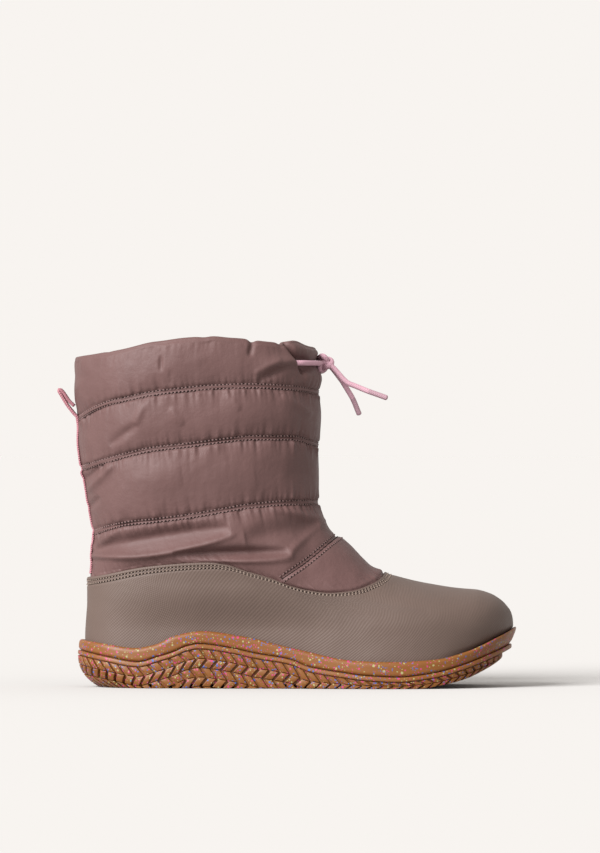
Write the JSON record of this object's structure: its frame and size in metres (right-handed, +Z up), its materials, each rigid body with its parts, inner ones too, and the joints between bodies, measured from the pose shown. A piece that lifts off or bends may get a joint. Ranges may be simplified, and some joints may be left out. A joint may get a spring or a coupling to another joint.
{
  "type": "apres ski boot",
  "caption": "Child's pull-on winter boot with a quilted hollow shaft, coated lower shell, drawcord collar, webbing pull loop and a lugged rubber cup sole.",
  "frame": {"origin": "on the flat underside of the heel tread, at the mount heel_rest, 28 mm in front of the back of the heel, on the line of the back seam", "axes": "+X towards the toe, +Y towards the inner side of the foot, +Z up"},
  "size_m": [0.2308, 0.0903, 0.1746],
  "materials": {
    "gum": "speckled matte gum rubber",
    "footbed": "brushed textile over foam",
    "nylon": "padded nylon with a satin sheen, fleece lined",
    "coated_textile": "coated woven textile, matte",
    "webbing": "ribbed woven webbing",
    "cord": "braided elastic cord"
  },
  "bodies": {
    "root": {"outsole": "gum", "midsole": "gum", "insole": "footbed", "upper": "nylon", "rand": "coated_textile", "pull_loop": "webbing", "drawcord_bar": "cord", "drawcord_knot": "cord", "drawcord_end_long": "cord", "drawcord_end_short": "cord"}
  },
  "joints": []
}
